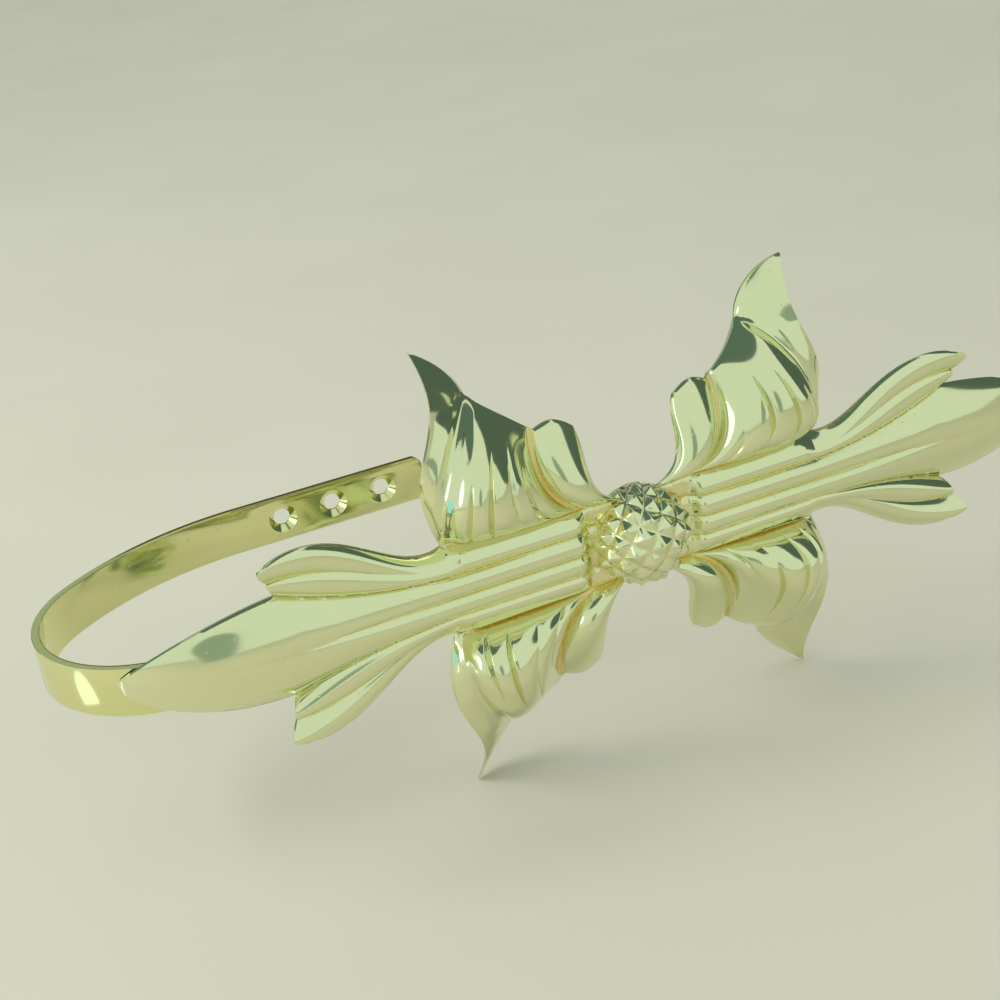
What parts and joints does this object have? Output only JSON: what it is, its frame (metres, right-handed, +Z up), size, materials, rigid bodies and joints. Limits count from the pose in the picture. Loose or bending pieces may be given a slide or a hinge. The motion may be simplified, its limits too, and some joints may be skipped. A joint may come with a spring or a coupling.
{
  "type": "curtain holdback",
  "caption": "Flat brass bar bent to a hook for a drawn-back curtain, with a pressed leaf ornament and faceted boss in front and screw holes for the wall.",
  "frame": {"origin": "centre of the middle screw hole, on the face that lies against the wall", "axes": "+X along the bar, from the bend to the free ends; +Y out of the back, into the wall; +Z up"},
  "size_m": [0.263, 0.0843, 0.112],
  "materials": {
    "strap_brass": "polished and lacquered flat bar",
    "plate_brass": "pressed sheet, polished and lacquered",
    "stud_brass": "turned, as machined"
  },
  "bodies": {
    "root": {"strap": "strap_brass", "leaf_plate": "plate_brass", "centre_stud": "stud_brass"}
  },
  "joints": []
}
